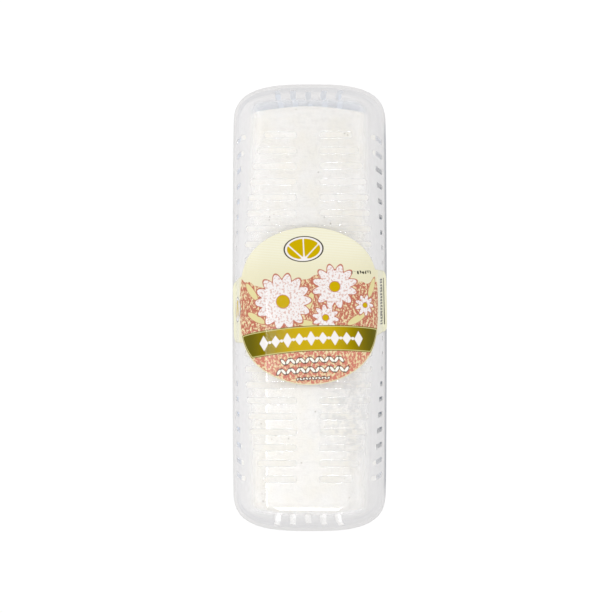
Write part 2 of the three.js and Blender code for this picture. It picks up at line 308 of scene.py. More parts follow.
@dataclass(frozen=True)
class CaseForm:
    """The outer form of a half case, as the frame's own solids have it, with round shoulders."""

    side: Flank = Flank(21.5, 15.0, np.radians(10.5))
    end: Flank = Flank(105.2, 9.0, np.radians(15))
    height: float = 70.0
    straight: float = 99.6
    exponent: float = 3.0
    panel_exponent: float = 8.0
    squareness_ease: float = 1.5
    bow_share: float = 0.02
    bow_reach: float = 122.0
    wall: float = 0.6

    def bow(self, y: Array) -> Array:
        """How much wider the case is at y: a parabola that is widest at the middle."""
        return 1 + self.bow_share * (1 - (y / self.bow_reach) ** 2)

    def exponent_at(self, level: Array) -> Array:
        """The corner's superellipse exponent: squarer at the panel's edge than from the arc's end down."""
        squarer = (1 - np.clip(level, 0, 1)) ** self.squareness_ease
        return self.exponent + (self.panel_exponent - self.exponent) * squarer

    def around(self, run: Array, level: Array) -> tuple[Array, Array, Array, Array]:
        """Where a run is on the outline: straight to 1, then a superellipse quarter to 2.

        Args:
            run: the places around the case, as in Sites.
            level: the places down the section, as in Sites.

        Returns:
            The shares of the outline's width and of its corner's depth, how much the end's height counts,
            and how far along the straight side the place is.
        """
        share = np.clip(run - 1, 0, 1)
        angle = np.pi / 2 * share**2 * (3 - 2 * share)
        power = 2 / self.exponent_at(level)
        across = np.clip(np.cos(angle), 0, None) ** power
        depth = np.sin(angle) ** power
        return across, depth, np.sin(angle) ** 2, np.minimum(run, 1) * self.straight

    def ring(self, run: Array, level: Array, side: tuple[Array, Array], end: tuple[Array, Array]) -> Array:
        """Points of a ring in the first quadrant, blended from a side's section to an end's.

        Args:
            run: the places around the case, as in Sites.
            level: the places down the section, as in Sites.
            side: (out, z) of the ring at a side's middle.
            end: the same at an end's middle.

        Returns:
            The points, one line of three numbers each.
        """
        across, depth, blend, straight = self.around(run, level)
        y = straight + depth * (end[0] - self.straight)
        x = across * side[0] * self.bow(y)
        return np.stack([x, y, side[1] + (end[1] - side[1]) * blend], -1)

    def skin(self, run: Array, level: Array, inset: Array | float = 0.0) -> Array:
        """Points of the shoulder and wall in the first quadrant, at an inset from the outer surface."""
        return self.ring(run, level, self.side.section(level, inset), self.end.section(level, inset))

    def points(self, sites: Sites, inset: float) -> Array:
        """The places in space: the panel is flat, and the rest lies on the rings.

        Args:
            sites: the places.
            inset: how far inside the outer surface the points are.

        Returns:
            The points, one line of three numbers each.
        """
        high = np.full(len(sites.y), self.height - inset)
        flat = np.stack([sites.x * self.bow(sites.y), sites.y, high], -1)
        return np.where(sites.flat[:, None], flat, self.skin(sites.run, sites.level, inset) * sites.signs())

    def normals(self, sites: Sites) -> Array:
        """Outward unit normals: the cross product of a small step around the case and one down its wall.

        Args:
            sites: the places.

        Returns:
            A normal for each place.
        """
        step = 1e-3
        run, level = sites.run, sites.level
        around = self.skin(np.minimum(run + step, 2), level) - self.skin(run - step, level)
        down = self.skin(run, level + step) - self.skin(run, np.maximum(level - step, 0))
        normal = np.cross(around, down)
        normal *= np.where(normal[:, 2:] < 0, -1, 1)
        normal /= np.maximum(np.linalg.norm(normal, axis=1, keepdims=True), 1e-12)
        return np.where(sites.flat[:, None], np.array([0.0, 0.0, 1.0]), normal * sites.signs())

    def unrolled(self, sites: Sites) -> Array:
        """The places laid out flat: the panel as it is, and the wall spread out square to the panel's edge.

        Args:
            sites: the places.

        Returns:
            Two numbers for each place.
        """
        across, depth, _, straight = self.around(sites.run, np.zeros(len(sites.run)))
        width, corner, power = self.side.edge, self.end.edge - self.straight, self.panel_exponent - 1
        edge = np.stack([across * width, straight + depth * corner], -1)
        out = np.stack([across**power / width, depth**power / corner], -1)
        out /= np.linalg.norm(out, axis=1, keepdims=True)
        reach = self.side.arc * np.minimum(sites.level, 1) + self.side.wall * np.maximum(sites.level - 1, 0)
        spread = (edge + out * reach[:, None]) * sites.signs()[:, :2]
        return np.where(sites.flat[:, None], np.stack([sites.x, sites.y], -1), spread)

    def side_sites(self, reach: Array, y: Array, side: int) -> Sites:
        """Places on a long side or the panel, by the distance over the surface from the middle line.

        Args:
            reach: the distances.
            y: the places along the case.
            side: 1 for the side of +X, -1 for the other.

        Returns:
            The places.
        """
        flat = reach <= self.side.edge
        level = np.where(flat, 0, self.side.level_of(reach - self.side.edge))
        return Sites(flat, np.where(flat, side * reach, side), y, np.abs(y) / self.straight, level)

    def end_sites(self, x: Array, reach: Array, end: int) -> Sites:
        """Places on an end, by their x and the distance over the surface from the panel's end edge.

        The corner's angle has the cosine (x / width) ** (exponent / 2), and the eased share that gives that
        angle is the root of a cubic.

        Args:
            x: the places across the case.
            reach: the distances.
            end: 1 for the end of +Y, -1 for the other.

        Returns:
            The places.
        """
        level = self.end.level_of(reach)
        width, _ = self.side.section(level, 0.0)
        angle = np.arccos(np.clip(np.abs(x) / width, 0, 1) ** (self.exponent_at(level) / 2))
        share = 0.5 - np.sin(np.arcsin(np.clip(1 - 4 * angle / np.pi, -1, 1)) / 3)
        return Sites(np.zeros(len(x), bool), x, np.full(len(x), float(end)), 1 + share, level)


# ---- the slots ----


@dataclass(frozen=True)
class Slot:
    """One slot of a half case.

    Attributes:
        start: where it starts, over the surface from the middle line or, at an end, from the panel's edge.
        stop: where it stops.
        width: its width.
        place: its place along the case or, at an end, its number counted from the middle one.
        sign: 1 for the side or end of +X or +Y, -1 for the other.
        at_end: True for a slot in an end wall.
    """

    start: float
    stop: float
    width: float
    place: float
    sign: int
    at_end: bool = False


@dataclass(frozen=True)
class SlotPlan:
    """The slots' places and sizes: two columns on the panel, one row in each long wall, a few at each end."""

    width: float = 3.0
    wall_width: float = 2.5
    wall_shift: float = -0.4
    pitch: float = 8.21
    rows: int = 23
    panel_start: float = 6.0
    panel_reach: float = 33.2
    panel_span: float = 103.0
    side_low: float = 39.75
    side_shortest: float = 3.4
    side_high: float = 34.5
    side_fall: float = 16.7
    side_fall_length: float = 49.3
    side_curve: float = 1.4
    end_count: int = 5
    end_pitch: float = 7.8
    end_spread: float = 0.035
    end_start: float = 108.6
    end_low: float = 56.0
    end_drop: float = 7.0
    lip: float = 0.6
    lip_segments: int = 6
    loop_step: float = 2.0
    line_step: float = 0.6
    turn_segments: int = 8

    def row_places(self) -> Array:
        """Where the rows are along the case."""
        return (np.arange(self.rows) - (self.rows - 1) / 2) * self.pitch

    def panel_end(self, form: CaseForm, y: float) -> float:
        """How far over the surface a panel slot reaches: the row ends follow a long superellipse.

        Args:
            form: the half case's outer form.
            y: the row's place along the case.

        Returns:
            The distance from the middle line, round the shoulder where the slot passes the panel's edge.
        """
        x = self.panel_reach * (1 - (abs(y) / self.panel_span) ** 3) ** (1 / 3)
        over = x - form.side.edge
        return x if over <= 0 else form.side.edge + form.side.radius * np.arcsin(over / form.side.radius)

    def side_span(self, form: CaseForm, y: float) -> tuple[float, float]:
        """The ends of a wall slot: the lower ones are level, and the upper ones fall away to the middle row.

        Args:
            form: the half case's outer form.
            y: the row's place along the case.

        Returns:
            The upper and the lower end, as distances over the surface from the middle line.
        """
        low = form.side.edge + form.side.reach_at(self.side_low)
        from_end = self.row_places()[-1] - abs(y)
        high = self.side_high + self.side_fall * (from_end / self.side_fall_length) ** self.side_curve
        return min(high, low - self.side_shortest), low

    def all_slots(self, form: CaseForm) -> list[Slot]:
        """Every slot of a half case.

        Args:
            form: the half case's outer form.

        Returns:
            The slots of the panel and the long walls, row by row, and then those of the ends.
        """
        slots = []
        for y in self.row_places():
            for side in (1, -1):
                slots.append(Slot(self.panel_start, self.panel_end(form, y), self.width, y, side))
                slots.append(Slot(*self.side_span(form, y), self.wall_width, y + self.wall_shift, side))
        start = form.end.radius * np.arcsin((self.end_start - form.end.edge) / form.end.radius)
        for place in np.arange(self.end_count) - (self.end_count - 1) / 2:
            stop = form.end.reach_at(self.end_low - self.end_drop * abs(place))
            slots += [Slot(start, stop, self.width, place, end, True) for end in (1, -1)]
        return slots

    def loop(self, length: float, radius: float) -> tuple[Array, Array]:
        """A slot's outline: two straight sides and two half circles about the ends of a line.

        Args:
            length: the line's length.
            radius: how far the outline is from the line.

        Returns:
            The places along the line and to its side, in order round the slot.
        """
        steps = max(2, int(np.ceil(length / self.loop_step)))
        along = np.linspace(0, length, steps + 1)
        flank = np.full(steps + 1, radius)
        turn = np.linspace(-np.pi / 2, np.pi / 2, self.turn_segments + 1)[1:-1]
        u = np.concatenate([along, length + radius * np.cos(turn), along[::-1], -radius * np.cos(turn)])
        v = np.concatenate([-flank, radius * np.sin(turn), flank, -radius * np.sin(turn)])
        return u, v

    def sites(self, form: CaseForm, slot: Slot, widening: float | None) -> Sites:
        """The places of a slot. Those at an end fan out a little on their way down.

        Args:
            form: the half case's outer form.
            slot: the slot.
            widening: how far outside the slot the outline runs, or None for the slot's middle line.

        Returns:
            The places in order.
        """
        radius = slot.width / 2
        length = slot.stop - slot.start - 2 * radius
        if widening is None:
            u = np.arange(0, length + self.line_step, self.line_step)
            v = np.zeros(len(u))
        else:
            u, v = self.loop(length, radius + widening)
        reach = slot.start + radius + u
        if slot.at_end:
            x = slot.place * (self.end_pitch + self.end_spread * (u + slot.start)) + v
            return form.end_sites(x, reach, slot.sign)
        return form.side_sites(reach, slot.place + v, slot.sign)


# ---- the case ----


@dataclass
class CaseShell:
    """A half of the clear case: one thin wall with rounded slots and a rim, closed all round.

    The line fields are for the cover's painted shade line along its rim, grey on the shaded side of +X: how
    wide it is and how it fades, from where and over what length it comes in across the case and goes out
    along it, and from what height it shows.
    """

    side: Side
    form: CaseForm = CaseForm()
    slots: SlotPlan = SlotPlan()
    corner_steps: int = 16
    arc_steps: int = 9
    wall_steps: int = 5
    panel_lines: int = 3
    panel_step: float = 5.0
    clearance: float = 0.5
    gap: float = 0.3
    tray_wall: float = 0.7
    skirt_top: float = 38.4
    skirt_bottom: float = 33.8
    skirt_chamfer: float = 0.6
    skirt_rise: float = 0.3
    skirt_cuts: tuple[float, ...] = (0, 0.3, 0.35, 0.25, 0.25, 0.3, 0.3, 0)
    rim_height: float = 35.0
    lip_top: float = 36.8
    lip_cuts: tuple[float, ...] = (0, 0.3, 0.28, 0.28, 0.3, 0)
    cut_segments: int = 4
    line_width: float = 0.8
    line_fade: float = 0.5
    line_faint: float = 0.1
    line_across: tuple[float, float] = (25, 10)
    line_along: tuple[float, float] = (108, 14)
    line_above: float = 36.4

    def perimeter(self, level: float) -> Sites:
        """One loop around the case at a level, anticlockwise from the middle of +X.

        Args:
            level: the level, as in Sites.

        Returns:
            The places in order.
        """
        straight = np.append(np.arange(self.slots.rows + 1) * self.slots.pitch / 2, self.form.straight)
        corner = 1 + np.linspace(0, 1, self.corner_steps + 1)[1:]
        quarter = np.concatenate([straight / self.form.straight, corner])
        run = np.concatenate([quarter, quarter[-2::-1], quarter[1:], quarter[-2:0:-1]])
        count = len(quarter)
        x, y = np.ones(len(run)), np.ones(len(run))
        x[count : count + 2 * (count - 1)] = -1
        y[2 * count - 1 :] = -1
        return Sites(np.zeros(len(run), bool), x, y, run, np.full(len(run), level))

    def grid(self, slots: list[Slot]) -> Sites:
        """The plain surface: loops from the foot up to the panel's edge, then a grid of points on the panel.

        Args:
            slots: the slots, near which no points are wanted, save in the foot's loop.

        Returns:
            The places, the foot's loop first.
        """
        arc = np.linspace(0, 1, self.arc_steps + 1)
        wall = np.linspace(1, 2, self.wall_steps + 1)[1:]
        loops = [self.perimeter(level) for level in np.concatenate([arc, wall])[::-1]]
        across = np.arange(-self.panel_lines, self.panel_lines + 1) * self.panel_step
        along = np.arange(-self.slots.rows - 1, self.slots.rows + 2) * self.slots.pitch / 2
        x, y = (v.ravel() for v in np.meshgrid(across, along))
        zero = np.zeros(len(x))
        grid = Sites.join([*loops, Sites(np.ones(len(x), bool), x, y, zero, zero)])
        flat_grid = self.form.unrolled(grid)
        apart = np.full(len(flat_grid), np.inf)
        for slot in slots:
            line = self.form.unrolled(self.slots.sites(self.form, slot, None))
            apart = np.minimum(apart, np.linalg.norm(flat_grid[:, None] - line, axis=2).min(axis=1))
        keep = apart > self.slots.width / 2 + self.slots.lip + self.clearance
        keep[: len(loops[0].run)] = True
        return grid.pick(keep)

    def surface(self, slots: list[Slot]) -> tuple[Sites, Array, list[Array]]:
        """The surface with its slots cut out.

        It is laid out flat, its grid and the slots' outlines are joined into triangles, and those inside
        an outline are dropped.

        Args:
            slots: the slots.

        Returns:
            The places, the triangles, and the point numbers of each slot's outline.
        """
        lots = [self.grid(slots), *(self.slots.sites(self.form, slot, self.slots.lip) for slot in slots)]
        surface = Sites.join(lots)
        stops = np.cumsum([len(lot.run) for lot in lots])
        loops = [np.arange(start, stop) for start, stop in zip(stops, stops[1:])]
        owner = np.full(len(surface.run), -1)
        for number, loop in enumerate(loops):
            owner[loop] = number
        edges = np.concatenate([np.stack([loop, np.roll(loop, -1)], -1) for loop in loops])
        triangles = self.triangles(self.form.unrolled(surface), edges)
        owners = owner[triangles]
        inside = (owners[:, 0] >= 0) & (owners[:, 0] == owners[:, 1]) & (owners[:, 1] == owners[:, 2])
        return surface, triangles[~inside], loops

    def triangles(self, flat: Array, edges: Array) -> Array:
        """Delaunay triangles between points laid out flat, inside the foot's loop.

        Args:
            flat: two numbers for each point.
            edges: pairs of point numbers whose edges are kept.

        Returns:
            Three point numbers for each triangle.
        """
        outline = list(range(len(self.perimeter(2.0).run)))
        places = [Vector((float(u), float(v))) for u, v in flat]
        found = delaunay_2d_cdt(places, edges.tolist(), [outline], 1, 1e-5, True)
        vertices, _, triangles, origins = found[:4]
        if len(vertices) != len(flat):
            log.warning("%s: %d points became %d", self.side.value, len(flat), len(vertices))
        first = np.array([origin[0] if origin else -1 for origin in origins])
        return first[np.array([list(t) for t in triangles if len(t) == 3])]

    def thin_wall(self) -> tuple[Array, list[Array], Array, int]:
        """The panel, shoulder and wall: an outer and an inner surface, joined by rounded lips in the slots.

        A lip is half an ellipse from the outer to the inner surface.

        Returns:
            Points, faces, normals, and how many points the outer surface has. The inner surface's points
            follow, and each surface starts with the foot's loop.
        """
        form, lip, half = self.form, self.slots.lip, self.form.wall / 2
        slots = self.slots.all_slots(form)
        surface, triangles, loops = self.surface(slots)
        count = len(surface.run)
        flat = form.unrolled(surface)
        points = [form.points(surface, 0.0), form.points(surface, form.wall)]
        faces = [triangles, triangles[:, ::-1] + count]
        base = 2 * count
        turns = np.linspace(0, np.pi, self.slots.lip_segments + 1)[1:-1]
        for slot, loop in zip(slots, loops):
            for turn in turns:
                sites = self.slots.sites(form, slot, lip * (1 - np.sin(turn)))
                points.append(form.points(sites, half * (1 - np.cos(turn))))
            u, v = flat[loop].T
            anticlockwise = np.sum(u * np.roll(v, -1) - np.roll(u, -1) * v) > 0
            size = len(loop)
            between = [base + k * size + np.arange(size) for k in range(len(turns))]
            quads = strips([loop, *between, count + loop])
            faces += [block[:, ::-1] for block in quads] if anticlockwise else quads
            base += size * len(turns)
        normals = form.normals(surface)
        normals = np.concatenate([normals, -normals, np.zeros((base - 2 * count, 3))])
        return np.concatenate(points), faces, normals, count

    def rim_profile(self, flank: Flank) -> Array:
        """The rim's section from the wall's outer foot round to its inner foot, without the two feet.

        Args:
            flank: the section of the wall above.

        Returns:
            The points (out, z).
        """
        (start, high), (stop, low) = flank.section(2.0, 0.0), flank.section(2.0, self.form.wall)
        slope, thick = np.tan(flank.lean), self.form.wall
        rim = flank.out_at(self.rim_height)
        if self.side is Side.COVER:
            out = rim + self.gap + self.tray_wall
            ceiling = self.skirt_top - self.skirt_chamfer - thick
            places = [
                (start, high),
                (rim - (self.skirt_top - self.rim_height) * slope, self.skirt_top),
                (out, self.skirt_top - self.skirt_chamfer),
                (out, self.skirt_bottom),
                (out - thick, self.skirt_bottom),
                (out - thick, ceiling),
                (stop + (low - ceiling - self.skirt_rise) * slope, ceiling + self.skirt_rise),
                (stop, low),
            ]
            cuts = self.skirt_cuts
        else:
            lip = self.form.height - self.lip_top
            edge = [(rim, self.rim_height), (rim, lip), (rim - thick, lip), (rim - thick, self.rim_height)]
            places, cuts = [(start, high), *edge, (stop, low)], self.lip_cuts
        return rounded([(*place, cut) for place, cut in zip(places, cuts)], self.cut_segments)[1:-1]

    def painted_rim_shade(self, points: Array, out: Array) -> Array:
        """How strong the rim's painted shade line is: full along the outermost edge of the side of +X, the
        shaded side.

        Args:
            points: the points, one line of three numbers each.
            out: how far out a side's section is at each point of the rim, and 0 elsewhere.

        Returns:
            A share for each point.
        """
        x, y, z = points.T
        line = np.clip((out - out.max() + self.line_width) / self.line_fade, 0, 1)
        line *= np.clip((x - self.line_across[0]) / self.line_across[1], self.line_faint, 1)
        line *= np.clip((self.line_along[0] - np.abs(y)) / self.line_along[1], self.line_faint, 1)
        return line * np.clip(z - self.line_above, 0, 1)

    def build(self) -> bpy.types.Object:
        """The shell as one closed mesh. The tray is made as a cover and turned upside down.

        Returns:
            The new object.
        """
        points, faces, normals, inner = self.thin_wall()
        foot = self.perimeter(2.0)
        side, end = self.rim_profile(self.form.side), self.rim_profile(self.form.end)
        rings = [self.form.ring(foot.run, foot.level, *pair) * foot.signs() for pair in zip(side, end)]
        base, size = len(points), len(foot.run)
        here = np.arange(size)
        faces += strips([here, *(base + k * size + here for k in range(len(rings))), inner + here])
        points = np.concatenate([points, *rings])
        normals = np.concatenate([normals, np.zeros((len(rings) * size, 3))])
        normals[here] = normals[inner + here] = 0
        if self.side is Side.TRAY:
            points = points * [1, 1, -1] + [0, 0, self.form.height]
            normals = normals * [1, 1, -1]
        used = np.zeros(len(points), bool)
        used[np.concatenate([block.ravel() for block in faces])] = True
        number = np.cumsum(used) - 1
        faces = [number[block] for block in faces]
        piece = mesh_object(f"{self.side.value}_clear", points[used], faces, normals[used])
        if self.side is Side.COVER:
            # The rim's grey line is painted shade, strongest on the side of +X.
            out = np.concatenate([np.zeros(base), np.repeat(side[:, 0], size)])
            store(piece, "rim_shade_line", self.painted_rim_shade(points, out)[used])
        return piece


# ---- the cheese ----


@dataclass
class CheeseLog:
    """The log of cheese: a slightly flattened round with soft edges, full ends and a fine uneven rind.

    Each line of relief is the height, size and seed of one noise. The points beyond end_start move more and
    more along the log with it, by end_pull.
    """

    half_length: float = 111.4
    half_width: float = 37.0
    half_height: float = 33.7
    seat: float = 1.0
    sink: float = 0.5
    place_across: float = -0.6
    place_along: float = -1.6
    edge_radius: float = 6.0
    end_dome: float = 4.0
    end_start: float = 96.0
    end_pull: float = 2.2
    dome_points: int = 60
    edge_points: int = 40
    step: float = 0.82
    columns: int = 286
    relief: tuple[tuple[float, float, int], ...] = (
        (0.34, 31, 11), (0.2, 13, 12), (0.1, 5.2, 13), (0.05, 2.3, 14), (0.03, 1.25, 15)
    )

    def profile(self) -> tuple[Array, Array]:
        """The log's outline from the middle of one end to the other.

        An end is a shallow dome, a quarter circle joins it to the straight side, and the whole is
        resampled at even steps.

        Returns:
            The places along the log, and the share of the full radius at each.
        """
        radius, face = self.half_height, self.half_height - self.edge_radius
        dome = np.linspace(0, 1, self.dome_points)
        turn = np.linspace(0, np.pi / 2, self.edge_points)[1:]
        edge = self.half_length - self.end_dome - self.edge_radius * (1 - np.cos(turn))
        along = np.concatenate([self.half_length - self.end_dome * dome**2, edge, [0.0]])
        out = np.concatenate([face * dome, face + self.edge_radius * np.sin(turn), [radius]])
        length = path_length(along, out)
        even = np.linspace(0, length[-1], int(length[-1] / self.step) + 1)
        along, out = np.interp(even, length, along), np.interp(even, length, out) / radius
        return np.concatenate([along, -along[-2::-1]]), np.concatenate([out, out[-2::-1]])

    def build(self) -> bpy.types.Object:
        """The log as one closed mesh: an ellipse of points for each place along it and a point at each end.

        Five sizes of smooth noise, each weaker than the one before, move the points outwards and inwards.

        Returns:
            The new object.
        """
        along, share = (v[1:-1] for v in self.profile())
        turn = np.arange(self.columns) * 2 * np.pi / self.columns
        round_way = np.stack([np.sin(turn), np.zeros(self.columns), np.cos(turn)], -1)
        size = np.array([self.half_width, 1.0, self.half_height])
        points = share[:, None, None] * round_way[None] * size
        points[:, :, 1] = along[:, None]
        tips = np.array([[0, self.half_length, 0], [0, -self.half_length, 0]])
        points = np.concatenate([points.reshape(-1, 3), tips])
        y = points[:, 1]
        outward = points * [1, 0, 1]
        outward[:, 1] = np.sign(y) * np.clip(np.abs(y) - self.end_start, 0, None) * self.end_pull
        outward /= np.maximum(np.linalg.norm(outward, axis=1, keepdims=True), 1e-9)
        relief = sum(height * lattice_noise(points, grain, seed) for height, grain, seed in self.relief)
        points = points + outward * relief[:, None]
        points += [self.place_across, self.place_along, self.seat + self.half_height - self.sink]
        points[:, 2] = np.maximum(points[:, 2], self.seat)
        here = np.arange(self.columns)
        after = np.roll(here, -1)
        last = (len(along) - 1) * self.columns
        first_tip, last_tip = (np.full(self.columns, len(points) - k) for k in (2, 1))
        faces = [
            grid_faces(len(along), self.columns, True),
            np.stack([after, here, first_tip], -1),
            np.stack([last + here, last + after, last_tip], -1),
        ]
        return mesh_object("cheese_log_rind", points, faces)


# ---- the label ----


@dataclass
class PaperLabel:
    """The paper label: a printed disc on the panel whose two tabs go down over the rim on either side."""

    form: CaseForm = CaseForm()
    radius: float = 41.4
    turn: float = np.radians(2.9)
    place_across: float = 0.7
    place_along: float = 0.4
    reach: float = 62.6
    root_half_width: float = 19.0
    end_half_width: float = 16.4
    end_rounding: float = 4.0
    tab_end: float = 18.0
    lift: float = 0.12
    paper: float = 0.12
    across_step: float = 0.56
    columns: int = 150
    arc_points: int = 24
    cut_segments: int = 6
    rim_height: float = 35.0
    wall_end: float = 41.2
    wall_cut: float = 1.2
    skirt: float = 1.0
    skirt_top: float = 37.8
    skirt_bottom: float = 33.8
    skirt_cut: float = 0.5

    def path(self, offset: float) -> tuple[Array, Array, Array]:
        """The paper's way from the panel's middle over a side: the shoulder, the wall, the skirt, and free.

        Args:
            offset: how far outside the case the paper's face is.

        Returns:
            Lengths from the middle, and how far out and how high the face is at each.
        """
        side = self.form.side
        arc_out, arc_z = side.section(np.linspace(0, 1, self.arc_points), -offset)
        rim, slope = side.out_at(self.rim_height), np.tan(side.lean)
        skirt = rim + self.skirt + offset
        corners = [
            (arc_out[-1], arc_z[-1], 0.0),
            (arc_out[-1] + (arc_z[-1] - self.wall_end) * slope, self.wall_end, self.wall_cut),
            (skirt, self.skirt_top, self.skirt_cut),
            (skirt, self.skirt_bottom, self.skirt_cut),
            (rim - slope * (self.rim_height - self.tab_end) + offset, self.tab_end, 0.0),
        ]
        rest = rounded(corners, self.cut_segments)[1:]
        out = np.concatenate([[0.0], arc_out, rest[:, 0]])
        z = np.concatenate([[self.form.height + offset], arc_z, rest[:, 1]])
        return path_length(out, z), out, z

    def half_width(self, across: Array) -> Array:
        """Half the label's width along the case: the disc or the tapered tab, whichever is wider.

        Args:
            across: the places across the label, over the surface.

        Returns:
            Half the width at each place.
        """
        far = np.abs(across)
        disc = np.sqrt(np.clip(self.radius**2 - far**2, 0, None))
        taper = self.root_half_width + (self.end_half_width - self.root_half_width) * far / self.reach
        into_end = np.clip(far - (self.reach - self.end_rounding), 0, self.end_rounding)
        taper = taper - (self.end_rounding - np.sqrt(self.end_rounding**2 - into_end**2))
        return np.maximum(disc, taper)

    def sheet(self, offset: float) -> tuple[Array, Array, Array]:
        """One face of the paper: a grid across and up the label, turned a little and laid over the case.

        Args:
            offset: how far outside the case the face is.

        Returns:
            The points and, for each, how far across and how far up the label it is.
        """
        length, out, z = self.path(offset)
        across = np.linspace(-self.reach, self.reach, int(2 * self.reach / self.across_step) + 1)
        share = np.linspace(-1, 1, self.columns + 1)
        p = np.repeat(across, len(share))
        q = (self.half_width(across)[:, None] * share[None]).ravel()
        s = p * np.cos(self.turn) - q * np.sin(self.turn) + self.place_across
        y = p * np.sin(self.turn) + q * np.cos(self.turn) + self.place_along
        x = np.sign(s) * np.interp(np.abs(s), length, out) * self.form.bow(y)
        return np.stack([x, y, np.interp(np.abs(s), length, z)], -1), p, q

    def build(self) -> bpy.types.Object:
        """The label as one closed mesh with its print's distances kept at each point.

        Returns:
            The new object.
        """
        top, p, q = self.sheet(self.lift + self.paper)
        under, _, _ = self.sheet(self.lift)
        columns, count = self.columns + 1, len(top)
        upper = grid_faces(count // columns, columns, False)
        number = np.arange(count).reshape(-1, columns)
        edge = np.concatenate([number[0, :-1], number[:-1, -1], number[-1, :0:-1], number[:0:-1, 0]])
        faces = [upper, upper[:, ::-1] + count, *strips([edge, edge + count])]
        piece = mesh_object("label_paper", np.concatenate([top, under]), faces)
        prints = LabelPrint(p, q).distances()
        prints["label_place"] = np.stack([p, q, np.zeros(count)], -1)
        for name, values in prints.items():
            store(piece, name, np.concatenate([values, values]))
        return piece


